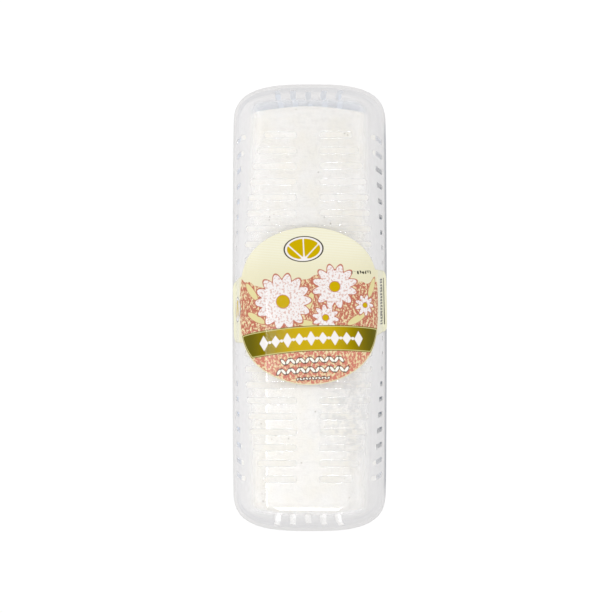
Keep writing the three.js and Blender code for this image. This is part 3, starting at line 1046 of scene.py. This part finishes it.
@dataclass(frozen=True)
class LabelPrint:
    """The print as distances in millimetres at the points (p, q), each positive inside its shape.

    Attributes:
        p: the points' places across the label.
        q: the points' places up the label.
        disc: the printed disc's radius.
        hills: the meadow's top, and the height, pace and shift of its waves.
        flowers: centre, radius and number of petals.
        leaves: centre and turn, all of one leaf_size.
        beads: the step between the band's lozenges, half their width, and their heights by turns.
        grains: rows of ears: the row's height, half its length, its step, and a grain's half axes.
    """

    p: Array
    q: Array
    disc: float = 40.8
    hills: tuple[float, ...] = (13, 2.6, 0.13, 0.6)
    flowers: tuple[tuple, ...] = (
        ((-13.5, 3.0), 14.5, 14), ((13.5, 9.5), 11.5, 12), ((8.0, -6.5), 6.8, 10), ((29.0, -1.0), 5.6, 9)
    )
    leaf_size: tuple[float, float] = (5.6, 1.7)
    leaves: tuple[tuple[float, ...], ...] = (
        (-30, 9, 2.2), (-28, -5, 2.6), (0, 2, 1.2), (24, -8, 0.5), (-2, -9, 2.9), (34, 8, 1.1)
    )
    band_half: float = 6.7
    beads: tuple[float, ...] = (6.1, 2.3, 4.1, 3.3)
    grains: tuple[tuple, ...] = (
        (-28.3, 17.0, 2.5, (1.6, 0.72)), (-33.4, 19.0, 2.5, (1.6, 0.72)), (-37.9, 8.0, 1.6, (0.7, 0.45))
    )

    def union(self, shapes: list[Array]) -> Array:
        """The distance into whichever shape a point is deepest in, and no less than FAR_OUTSIDE."""
        return np.maximum(np.max(shapes, axis=0), FAR_OUTSIDE)

    def ellipse(self, centre: tuple[float, float], size: tuple[float, float], turn: float = 0.0) -> Array:
        """About how far in an ellipse points are: one less the scaled distance, times the smaller half axis.

        Args:
            centre: the ellipse's centre.
            size: its half axes.
            turn: the angle of the first half axis.

        Returns:
            A distance for each point, positive inside.
        """
        dx, dy = self.p - centre[0], self.q - centre[1]
        u = dx * np.cos(turn) + dy * np.sin(turn)
        v = -dx * np.sin(turn) + dy * np.cos(turn)
        return (1 - np.sqrt((u / size[0]) ** 2 + (v / size[1]) ** 2)) * min(size)

    def dot(self, centre: tuple[float, float], radius: float) -> Array:
        """How far points are inside a circle."""
        return radius - np.hypot(self.p - centre[0], self.q - centre[1])

    def band_middle(self, p: Array | float) -> Array | float:
        """The height of the arched band's middle line."""
        return -17.0 - p**2 / 411

    def daisy(self, centre: tuple[float, float], size: float, petals: int, turn: float) -> Array:
        """A flower of narrow petals round a centre: the union of ellipses that point outwards.

        Args:
            centre: the flower's centre.
            size: its radius.
            petals: how many petals it has.
            turn: the first petal's angle.

        Returns:
            A distance for each point, positive inside a petal.
        """
        angles = [turn + 2 * np.pi * k / petals for k in range(petals)]
        middles = [(centre[0] + 0.6 * size * np.cos(a), centre[1] + 0.6 * size * np.sin(a)) for a in angles]
        return self.union([self.ellipse(m, (0.4 * size, 0.17 * size), a) for m, a in zip(middles, angles)])

    def rays(self, centre: tuple[float, float], folds: int, gap: float) -> Array:
        """Rays from a centre: the sine of folds times the angle, times the distance, less a gap."""
        angle = np.arctan2(self.q - centre[1], self.p - centre[0])
        return np.abs(np.sin(folds * angle)) * -self.dot(centre, 0.0) * 0.25 - gap

    def band(self) -> tuple[Array, Array]:
        """The arched band, and the lozenges with small beads between them along it.

        Returns:
            The distances of both.
        """
        step, half, *heights = self.beads
        beads = []
        for k in range(-4, 5):
            across = np.abs(self.p - k * step) / half
            beads.append((1 - across - np.abs(self.q - self.band_middle(k * step)) / heights[k % 2]) * 1.9)
        beads += [self.dot((x, self.band_middle(x)), 0.8) for x in (np.arange(-4, 4) + 0.5) * step]
        return self.band_half - np.abs(self.q - self.band_middle(self.p)), self.union(beads)

    def marks(self, place: Array) -> Array:
        """A short row of bars on the disc, and a column of bars with a line beside it on a tab.

        Args:
            place: the points as places in space, for the noise that roughens the bars.

        Returns:
            The distances.
        """
        p, q = self.p, self.q
        rough = 0.35 * lattice_noise(place, 0.9, 32)
        code = np.minimum(0.85 - np.abs(q - 16.3), 0.36 - np.abs((p + 260) % 1.5 - 0.75)) + rough
        column = np.minimum(3.6 - np.abs(p - 52.0), 0.55 - np.abs((q + 200) % 1.6 - 0.8)) + rough
        line = 0.5 - np.abs(p - 59.5)
        shapes = ((code, (p > 22) & (p < 34)), (column, np.abs(q) < 12.4), (line, np.abs(q) < 12.8))
        return self.union([np.where(inside, shape, -9.0) for shape, inside in shapes])

    def distances(self) -> dict[str, Array]:
        """Every shape's distance at the points: unions of ellipses, lozenges, bars and bands.

        Returns:
            For each shape's name, a distance for each point, positive inside.
        """
        p, q = self.p, self.q
        place = np.stack([p, q, np.zeros(len(p))], -1)
        disc = self.dot((0.0, 0.0), self.disc)
        top, high, pace, shift = self.hills
        hills = top + high * np.sin(p * pace + shift) + 1.2 * lattice_noise(place, 3.1, 31)
        petals = [self.daisy(*flower, 0.2 * number) for number, flower in enumerate(self.flowers)]
        leaves = [self.ellipse((x, y), self.leaf_size, turn) for x, y, turn in self.leaves]
        ears = []
        for height, half, step, size in self.grains:
            for k in range(-int(half / step), int(half / step) + 1):
                centre = (k * step, height - (k * step) ** 2 / 600)
                ears.append(self.ellipse(centre, size, 1.0 if k % 2 else 2.2))
        band, beads = self.band()
        sun = np.minimum(self.ellipse((-1.5, 30.0), (8.6, 5.4)), self.rays((-1.5, 24.5), 4, 0.35))
        tab_sun = self.ellipse((-49.5, 0.8), (9.3, 6.3))
        return {
            "print_meadow": np.minimum(hills - q, disc),
            "print_petals": self.union(petals),
            "print_eyes": self.union([self.dot(centre, 0.23 * size) for centre, size, _ in self.flowers]),
            "print_leaves": np.minimum(self.union(leaves), disc),
            "print_band": np.minimum(band, disc),
            "print_beads": beads,
            "print_ears": self.union(ears),
            "print_sun": np.maximum(sun, np.minimum(tab_sun - 1.1, self.rays((-49.5, -6.0), 3, 0.6))),
            "print_sun_ground": np.maximum(self.ellipse((-1.5, 30.0), (9.6, 6.3)), tab_sun),
            "print_marks": self.marks(place),
        }


# ---- finishes ----


def linear(code: str) -> tuple[float, float, float, float]:
    """A written colour as the values a shader takes.

    Args:
        code: six hexadecimal digits, as a screen shows the colour.

    Returns:
        Linear red, green and blue, and an alpha of 1.
    """
    values = np.array([int(code[i : i + 2], 16) for i in (0, 2, 4)]) / 255
    values = np.where(values <= 0.04045, values / 12.92, ((values + 0.055) / 1.055) ** 2.4)
    return (*(float(v) for v in values), 1.0)


class Bench:
    """A node tree, with short ways to add what the finishes and the surround use."""

    def __init__(self, tree: bpy.types.NodeTree) -> None:
        """Empties the tree.

        Args:
            tree: the tree to fill.
        """
        self.tree = tree
        self.nodes = tree.nodes
        self.nodes.clear()

    def fill(self, node: Node, inputs: Inputs) -> None:
        """Gives inputs of a node what they take.

        Args:
            node: the node.
            inputs: a value, a colour's code, or a socket to link, for inputs by name or number.
        """
        for name, value in inputs.items():
            if isinstance(value, bpy.types.NodeSocket):
                self.tree.links.new(value, node.inputs[name])
            else:
                node.inputs[name].default_value = linear(value) if isinstance(value, str) else value

    def add(self, kind: str, inputs: Inputs | None = None, **settings: str) -> Node:
        """A new node.

        Args:
            kind: the shader node's type, without its first word.
            inputs: what its inputs take, as in fill.
            settings: the node's own settings.

        Returns:
            The node.
        """
        node = self.nodes.new(f"ShaderNode{kind}")
        for name, value in settings.items():
            setattr(node, name, value)
        self.fill(node, inputs or {})
        return node

    def math(self, operation: str, first: Value, second: Value = 0.0, third: float = 0.0) -> Socket:
        """The result of one sum on up to three values."""
        return self.add("Math", {0: first, 1: second, 2: third}, operation=operation).outputs[0]

    def span(self, value: Socket, low: float, high: float, start: float = 0.0, stop: float = 1.0) -> Socket:
        """A value eased from low and high to start and stop."""
        ends = {"Value": value, "From Min": low, "From Max": high, "To Min": start, "To Max": stop}
        return self.add("MapRange", ends, interpolation_type="SMOOTHSTEP").outputs[0]

    def blend(self, share: Value, first: Value, second: Value) -> Socket:
        """Two colours mixed, with a share of the second one."""
        return self.add("Mix", {0: share, 6: first, 7: second}, data_type="RGBA").outputs[2]

    def mix(self, share: Socket, first: Node, second: Node) -> Node:
        """Two shaders mixed, with a share of the second one."""
        return self.add("MixShader", {0: share, 1: first.outputs[0], 2: second.outputs[0]})

    def noise(self, place: Socket, scale: float, detail: float, roughness: float = 0.5) -> Socket:
        """A noise value around a half."""
        inputs = {"Vector": place, "Scale": scale, "Detail": detail, "Roughness": roughness}
        return self.add("TexNoise", inputs).outputs[0]

    def object_place(self) -> Socket:
        """The place on the object."""
        return self.add("TexCoord").outputs["Object"]


class Palette(Bench):
    """A material's node tree."""

    def __init__(self, name: str) -> None:
        """Starts a material with only an output and a Principled shader.

        Args:
            name: the material's name.
        """
        self.material = bpy.data.materials.new(name)
        self.material.use_nodes = True
        super().__init__(self.material.node_tree)
        self.output = self.add("OutputMaterial")
        self.shader = self.add("BsdfPrincipled")
        self.finish(self.shader)

    def finish(self, shader: Node) -> None:
        """Makes a shader the material's surface."""
        self.fill(self.output, {0: shader.outputs[0]})

    def stored(self, name: str, output: str = "Fac") -> Socket:
        """The value of an attribute of the mesh."""
        return self.add("Attribute", attribute_name=name).outputs[output]

    def bump(self, height: Socket, distance: float, strength: float) -> Socket:
        """The normal of fine relief from a height."""
        return self.add("Bump", {"Height": height, "Distance": distance, "Strength": strength}).outputs[0]


@dataclass(frozen=True)
class ClearPlastic:
    """Thin clear thermoformed film: light goes straight through; gloss and haze grow at grazing angles."""

    name: str = "clear_plastic_cover"
    tint: str = "FFFFFF"
    sheen: str = "FCFCFD"
    # edge: the haze's grey at grazing angles, partly the film's absorption along its longer path and partly
    # painted shade.
    edge: str = "C2C3C6"
    milk: str = "DCDBDA"
    # line: the grey of the painted shade line along the cover's rim.
    line: str = "989CA2"
    roughness: float = 0.045
    facing_gloss: float = 0.02
    haze: float = 0.032
    grazing_haze: float = 0.87
    haze_span: tuple[float, float] = (0.005, 0.435)
    cloud_span: tuple[float, ...] = (0.3, 0.8, 0.94, 1.06)
    grazing_shade_span: tuple[float, float] = (0.02, 0.13)
    rim_haze: float = 0.8
    rim_span: tuple[float, float] = (0.0398, 0.0384)
    ripple: tuple[float, float] = (0.0004, 0.055)

    def material(self) -> bpy.types.Material:
        """A clear layer, gloss by the fifth power of the facing, and haze that eases in with it. The haze
        turns grey at grazing angles, partly absorption and partly painted shade, and a painted shade line
        runs along the cover's rim.

        Returns:
            The finish as a material.
        """
        palette = Palette(self.name)
        palette.nodes.remove(palette.shader)
        place = palette.object_place()
        normal = palette.bump(palette.noise(place, 45.0, 2.0), *self.ripple)
        clear = palette.add("BsdfTransparent", {"Color": self.tint})
        shine = {"Color": self.sheen, "Roughness": self.roughness, "Normal": normal}
        gloss = palette.add("BsdfGlossy", shine)
        facing = palette.add("LayerWeight", {"Blend": 0.5, "Normal": normal}).outputs["Facing"]
        fifth = palette.math("POWER", facing, 5.0)
        grown = palette.math("MULTIPLY_ADD", fifth, 1 - self.facing_gloss, self.facing_gloss)
        film = palette.mix(grown, clear, gloss)
        upright = palette.math("SUBTRACT", 1.0, facing)
        # Painted shade, partly absorption: the haze turns grey where the film is seen at grazing angles.
        edge = palette.blend(palette.span(upright, *self.grazing_shade_span), self.edge, self.milk)
        # Painted shade: the rim line's grey laid over the haze tone.
        tone = palette.blend(palette.stored("rim_shade_line"), edge, self.line)
        milk = palette.add("BsdfDiffuse", {"Color": tone})
        cloud = palette.span(facing, *self.haze_span, self.haze, self.grazing_haze)
        uneven = palette.span(palette.noise(place, 90.0, 3.0), *self.cloud_span)
        height = palette.add("SeparateXYZ", {0: place}).outputs[2]
        rim = palette.span(height, *self.rim_span, 0.0, self.rim_haze)
        cloud = palette.math("MAXIMUM", palette.math("MULTIPLY", cloud, uneven), rim)
        palette.finish(palette.mix(cloud, film, milk))
        return palette.material


@dataclass(frozen=True)
class BloomyRind:
    """The matt white rind: faint ivory and grey mottling, a velvety bloom and a few dark specks."""

    bloom: str = "EAE8E4"
    ivory: str = "E8E5DD"
    grey: str = "DAD8D4"
    speck: str = "8E8579"
    damp: str = "CFCFCE"
    damp_place: tuple[float, float, float] = (0.026, -0.058, 0.057)
    damp_span: tuple[float, float] = (0.034, 0.012)
    roughness: float = 0.85
    sheen: float = 0.15
    glow: float = 0.12
    glow_radius: tuple[float, float, float] = (1.0, 0.85, 0.7)
    glow_depth: float = 0.0015
    relief: tuple[float, float] = (0.0004, 0.6)

    def material(self) -> bpy.types.Material:
        """Patches, fine grain, rare specks and a damp place, blended over the rind's white.

        Returns:
            The finish as a material.
        """
        palette = Palette("bloomy_rind")
        place = palette.object_place()
        patches = palette.span(palette.noise(place, 55.0, 4.0, 0.6), 0.4, 0.66)
        colour = palette.blend(patches, self.bloom, self.ivory)
        fine = palette.span(palette.noise(place, 420.0, 3.0, 0.65), 0.46, 0.72, 0.0, 0.55)
        colour = palette.blend(fine, colour, self.grey)
        cells = palette.add("TexVoronoi", {"Vector": place, "Scale": 300.0}).outputs["Distance"]
        rare = palette.span(palette.noise(place, 95.0, 1.0), 0.58, 0.63)
        specks = palette.math("MULTIPLY", palette.span(cells, 0.16, 0.1), rare)
        colour = palette.blend(palette.math("MULTIPLY", specks, 0.7), colour, self.speck)
        apart = palette.add("VectorMath", {0: place, 1: self.damp_place}, operation="DISTANCE")
        damp = palette.span(apart.outputs["Value"], *self.damp_span)
        uneven = palette.span(palette.noise(place, 330.0, 2.0), 0.42, 0.6, 0.0, 0.6)
        colour = palette.blend(palette.math("MULTIPLY", damp, uneven), colour, self.damp)
        rough = palette.math("ADD", palette.noise(place, 900.0, 4.0, 0.6), palette.noise(place, 250.0, 2.0))
        look = {
            "Base Color": colour,
            "Roughness": self.roughness,
            "Sheen Weight": self.sheen,
            "Subsurface Weight": self.glow,
            "Subsurface Radius": self.glow_radius,
            "Subsurface Scale": self.glow_depth,
            "Normal": palette.bump(rough, *self.relief),
        }
        palette.fill(palette.shader, look)
        return palette.material


@dataclass(frozen=True)
class PrintedPaper:
    """Coated paper with a simple country print: cream, terracotta, white, gold and olive."""

    cream: str = "E8E6D2"
    line: str = "E2DCB8"
    butter: str = "DDD8BA"
    tab: str = "E2DFC2"
    terracotta: str = "B86E5A"
    salmon: str = "C97B6A"
    fleck: str = "E3D3A8"
    leaf: str = "D9CF98"
    white: str = "E8E4E2"
    blush: str = "D5B6AD"
    gold: str = "C2A400"
    olive: str = "5E5700"
    band_line: str = "D0C785"
    bark: str = "5A3E30"
    grain: str = "F2F0E4"
    dark: str = "3E3A30"
    edge: float = 0.11
    line_pace: float = 7.4
    fleck_stretch: tuple[float, float, float] = (1.0, 0.6, 1.0)
    roughness: float = 0.09
    gloss: float = 0.055
    relief: tuple[float, float] = (0.0001, 0.15)

    def material(self) -> bpy.types.Material:
        """The print's colours laid one over the other, each inside its shape's distance.

        Returns:
            The finish as a material.
        """
        palette = Palette("printed_paper")
        place = palette.stored("label_place", "Vector")
        across, up, _ = palette.add("SeparateXYZ", {0: place}).outputs
        outward = palette.math("ABSOLUTE", across)
        lines = palette.math("SINE", palette.math("MULTIPLY", up, self.line_pace))
        colour = palette.blend(palette.span(up, 33.0, 13.0), self.cream, self.butter)
        colour = palette.blend(palette.span(lines, -0.2, 0.9, 0.0, 0.8), colour, self.line)
        colour = palette.blend(palette.span(outward, 40.8, 42.0), colour, self.tab)
        brick = palette.blend(palette.span(up, -16.0, -25.0), self.terracotta, self.salmon)
        stretched = palette.add("Mapping", {"Vector": place, "Scale": self.fleck_stretch}).outputs[0]
        flecks = palette.span(palette.noise(stretched, 0.85, 3.0, 0.7), 0.5, 0.56)
        blush = palette.span(palette.noise(place, 0.9, 2.0), 0.5, 0.62)
        layers = (
            ("meadow", 0.0, palette.blend(flecks, brick, self.fleck)),
            ("leaves", 0.25, self.terracotta),
            ("leaves", 0.0, self.leaf),
            ("petals", 0.35, self.terracotta),
            ("petals", 0.0, palette.blend(blush, self.white, self.blush)),
            ("eyes", 0.3, self.terracotta),
            ("eyes", 0.0, self.gold),
            ("band", 0.0, self.olive),
            ("band", -0.35, self.band_line),
            ("band", -0.75, palette.blend(palette.span(outward, 6.0, 34.0), self.gold, self.olive)),
            ("beads", 0.0, self.white),
            ("ears", 0.3, self.bark),
            ("ears", 0.0, self.grain),
            ("sun_ground", 0.5, self.dark),
            ("sun_ground", 0.0, self.white),
            ("sun", 0.0, self.gold),
            ("marks", 0.0, self.dark),
        )
        for name, grow, tone in layers:
            share = palette.span(palette.stored(f"print_{name}"), -self.edge - grow, self.edge - grow)
            colour = palette.blend(share, colour, tone)
        look = {
            "Base Color": colour,
            "Roughness": self.roughness,
            "Specular IOR Level": self.gloss,
            "Normal": palette.bump(palette.noise(palette.object_place(), 1500.0, 3.0), *self.relief),
        }
        palette.fill(palette.shader, look)
        return palette.material


# ---- the studio ----


@dataclass(frozen=True)
class SoftLight:
    """A rectangular lamp that hangs over a place and shines straight down.

    Attributes:
        name: its name.
        place: the place it hangs over.
        size: its width and length.
        radiance: how bright its face is.
        lights_matt: False if only its reflections show.
        height: how high it hangs.
    """

    name: str
    place: tuple[float, float]
    size: tuple[float, float]
    radiance: float
    lights_matt: bool = False
    height: float = 0.87

    def build(self) -> None:
        """Adds the lamp. Its power gives the lamp's face the stated brightness."""
        lamp = bpy.data.lights.new(self.name, "AREA")
        lamp.shape = "RECTANGLE"
        lamp.size, lamp.size_y = self.size
        lamp.energy = self.radiance * np.pi * self.size[0] * self.size[1]
        holder = bpy.data.objects.new(self.name, lamp)
        holder.location = (*self.place, self.height)
        holder.visible_diffuse = self.lights_matt
        bpy.context.scene.collection.objects.link(holder)


@dataclass(frozen=True)
class PaleFloor:
    """The plane that the pack rests on: pure white to the eye, save for the painted shadow tones seen through
    the case.

    Attributes:
        half: half the plane's width.
        shift: how far the tones' middle is from x = 0.
        reach: half their width, and half the length of their straight sides and of their round ends.
        left, left_edge, right: painted shadow tones beside the log, darkest on the side of +X.
        beyond: what those painted shadows turn to beyond the log's ends.
        near, middle, far: painted shade under the log, along the case, darker towards +Y.
        rim: the painted shade under the case's rim.
        white: how bright the plain white is.
    """

    half: float = 3.0
    shift: float = 0.0008
    reach: tuple[float, float, float] = (0.0443, 0.085, 0.043)
    left: str = "B4B4B2"
    left_edge: str = "D8E2F2"
    right: str = "868C94"
    beyond: str = "DCE2EC"
    near: str = "FFFFFF"
    middle: str = "F8F8FA"
    far: str = "D7DBE2"
    rim: str = "E6E6E8"
    white: float = 1.02
    roughness: float = 0.9

    def material(self) -> bpy.types.Material:
        """Painted shadow tones that ease into one another by the place, and a white glow outside them.

        Returns:
            The finish as a material.
        """
        palette = Palette("floor_white_painted_shadow")
        x, y, _ = palette.add("SeparateXYZ", {0: palette.object_place()}).outputs
        width, straight, end = self.reach
        aside = palette.math("DIVIDE", palette.math("ADD", x, self.shift), width)
        across = palette.math("POWER", palette.math("ABSOLUTE", aside), 4.0)
        lengthways = palette.math("ABSOLUTE", y)
        past = palette.math("MAXIMUM", palette.math("SUBTRACT", lengthways, straight), 0.0)
        along = palette.math("POWER", palette.math("DIVIDE", past, end), 4.0)
        round_rim = palette.math("ADD", across, along)
        # Painted shadows: grey tones under the case, darkest on the side of +X and towards +Y, seen through
        # the film.
        tone = palette.blend(palette.span(x, -0.042, -0.044), self.left_edge, self.left)
        tone = palette.blend(palette.span(x, -0.03, 0.03), tone, self.right)
        beyond = palette.math("MULTIPLY", palette.span(lengthways, 0.078, 0.094), 0.75)
        tone = palette.blend(beyond, tone, self.beyond)
        under = palette.blend(palette.span(y, -0.11, -0.1), self.near, self.middle)
        under = palette.blend(palette.span(y, 0.095, 0.108), under, self.far)
        tone = palette.blend(palette.span(across, 0.42, 0.64), under, tone)
        tone = palette.blend(palette.span(round_rim, 0.86, 1.0), tone, self.rim)
        palette.fill(palette.shader, {"Base Color": tone, "Roughness": self.roughness})
        glow = palette.add("Emission", {"Color": (1, 1, 1, 1), "Strength": self.white})
        outside = palette.span(round_rim, 0.88, 1.04)
        seen = palette.math("MULTIPLY", palette.add("LightPath").outputs["Is Camera Ray"], outside)
        palette.finish(palette.mix(seen, palette.shader, glow))
        return palette.material

    def build(self) -> None:
        """Adds the plane under the pack, with its finish."""
        corners = [(x * self.half, y * self.half, 0) for x, y in ((-1, -1), (1, -1), (1, 1), (-1, 1))]
        mesh = bpy.data.meshes.new("floor")
        mesh.from_pydata(corners, [], [(0, 1, 2, 3)])
        floor = bpy.data.objects.new("floor", mesh)
        bpy.context.scene.collection.objects.link(floor)
        mesh.materials.append(self.material())


@dataclass
class Studio:
    """A pale floor, a soft surround, lamps, and the camera that looks straight down."""

    camera_place: tuple[float, float, float] = (0.016, -0.007, 0.770)
    camera_target: tuple[float, float, float] = (-0.0014, 0.0005, 0.035)
    lens: float = 78.33
    sensor: float = 36.0
    see_through: int = 32
    surround: str = "FEFEFF"
    surround_level: float = 1.385
    surround_slope: float = 0.32
    key_side: tuple[float, float, float] = (-0.4, 0.25, 0.8)
    end_dip: float = 0.5
    zenith_share: float = 0.1
    zenith_span: tuple[float, float] = (0.8, 0.98)
    lamps: tuple[SoftLight, ...] = (
        SoftLight("overhead", (-0.018, -0.11), (0.092, 0.26), 1.8, True),
        SoftLight("left_edge", (-0.084, -0.1), (0.025, 0.24), 66.0),
        SoftLight("foot_glow", (-0.018, -0.224), (0.092, 0.03), 3.9),
        SoftLight("foot_edge", (-0.017, -0.38), (0.085, 0.26), 42.0),
    )

    def build_surround(self) -> None:
        """A soft white surround: brighter on the key side, dimmer straight above and beyond the ends."""
        world = bpy.data.worlds.new("surround")
        bpy.context.scene.world = world
        world.use_nodes = True
        bench = Bench(world.node_tree)
        aim = bench.add("TexCoord").outputs["Generated"]
        towards = bench.add("VectorMath", {0: aim, 1: self.key_side}, operation="DOT_PRODUCT").outputs[1]
        level = bench.math("MULTIPLY_ADD", towards, self.surround_slope, self.surround_level)
        _, y, z = bench.add("SeparateXYZ", {0: aim}).outputs
        ends = bench.math("MULTIPLY", bench.math("MULTIPLY", y, y), self.end_dip)
        level = bench.math("SUBTRACT", level, ends)
        level = bench.math("MULTIPLY", level, bench.span(z, *self.zenith_span, 1.0, self.zenith_share))
        glow = bench.add("Background", {"Color": self.surround, "Strength": level})
        bench.add("OutputWorld", {0: glow.outputs[0]})

    def look_down(self) -> Euler:
        """The camera's turn towards its target, with the length of the pack upright in the picture.

        Returns:
            The turn about the three axes.
        """
        back = (Vector(self.camera_place) - Vector(self.camera_target)).normalized()
        right = Vector((0, 1, 0)).cross(back).normalized()
        return Matrix((right, back.cross(right), back)).transposed().to_euler()

    def build(self) -> None:
        """Sets up the floor, surround, lamps, camera and the picture's plain colour handling."""
        PaleFloor().build()
        self.build_surround()
        for lamp in self.lamps:
            lamp.build()
        lens = bpy.data.cameras.new("camera")
        lens.lens, lens.sensor_width = self.lens, self.sensor
        camera = bpy.data.objects.new("camera", lens)
        camera.location = self.camera_place
        camera.rotation_euler = self.look_down()
        scene = bpy.context.scene
        scene.collection.objects.link(camera)
        scene.camera = camera
        scene.cycles.transparent_max_bounces = self.see_through
        scene.view_settings.view_transform = "Standard"
        scene.view_settings.look = "None"


def dress(piece: bpy.types.Object, node: str, slot: str, finish: bpy.types.Material) -> None:
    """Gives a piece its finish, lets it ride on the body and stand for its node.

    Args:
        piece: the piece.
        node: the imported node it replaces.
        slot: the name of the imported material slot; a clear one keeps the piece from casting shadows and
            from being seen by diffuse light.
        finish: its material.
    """
    if "clear" in slot:
        piece.visible_shadow = piece.visible_diffuse = False
    piece.data.materials.append(finish)
    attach(piece, BODY)
    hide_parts(node)
    log.info("%s: %d points, for %s", piece.name, len(piece.data.vertices), node)


def main() -> None:
    """Builds the studio and every piece of the pack."""
    logging.basicConfig(level=logging.INFO, format="%(name)s: %(message)s")
    Studio().build()
    dress(CheeseLog().build(), "cheese_log", "rind", BloomyRind().material())
    thinner = ClearPlastic("clear_plastic_tray", haze=0.008, grazing_haze=0.13, rim_haze=0.0)
    dress(CaseShell(Side.TRAY).build(), "tray", "clear_plastic_tray", thinner.material())
    dress(CaseShell(Side.COVER).build(), "cover", "clear_plastic_cover", ClearPlastic().material())
    dress(PaperLabel().build(), "label", "label_paper", PrintedPaper().material())


if __name__ == "__main__":
    main()
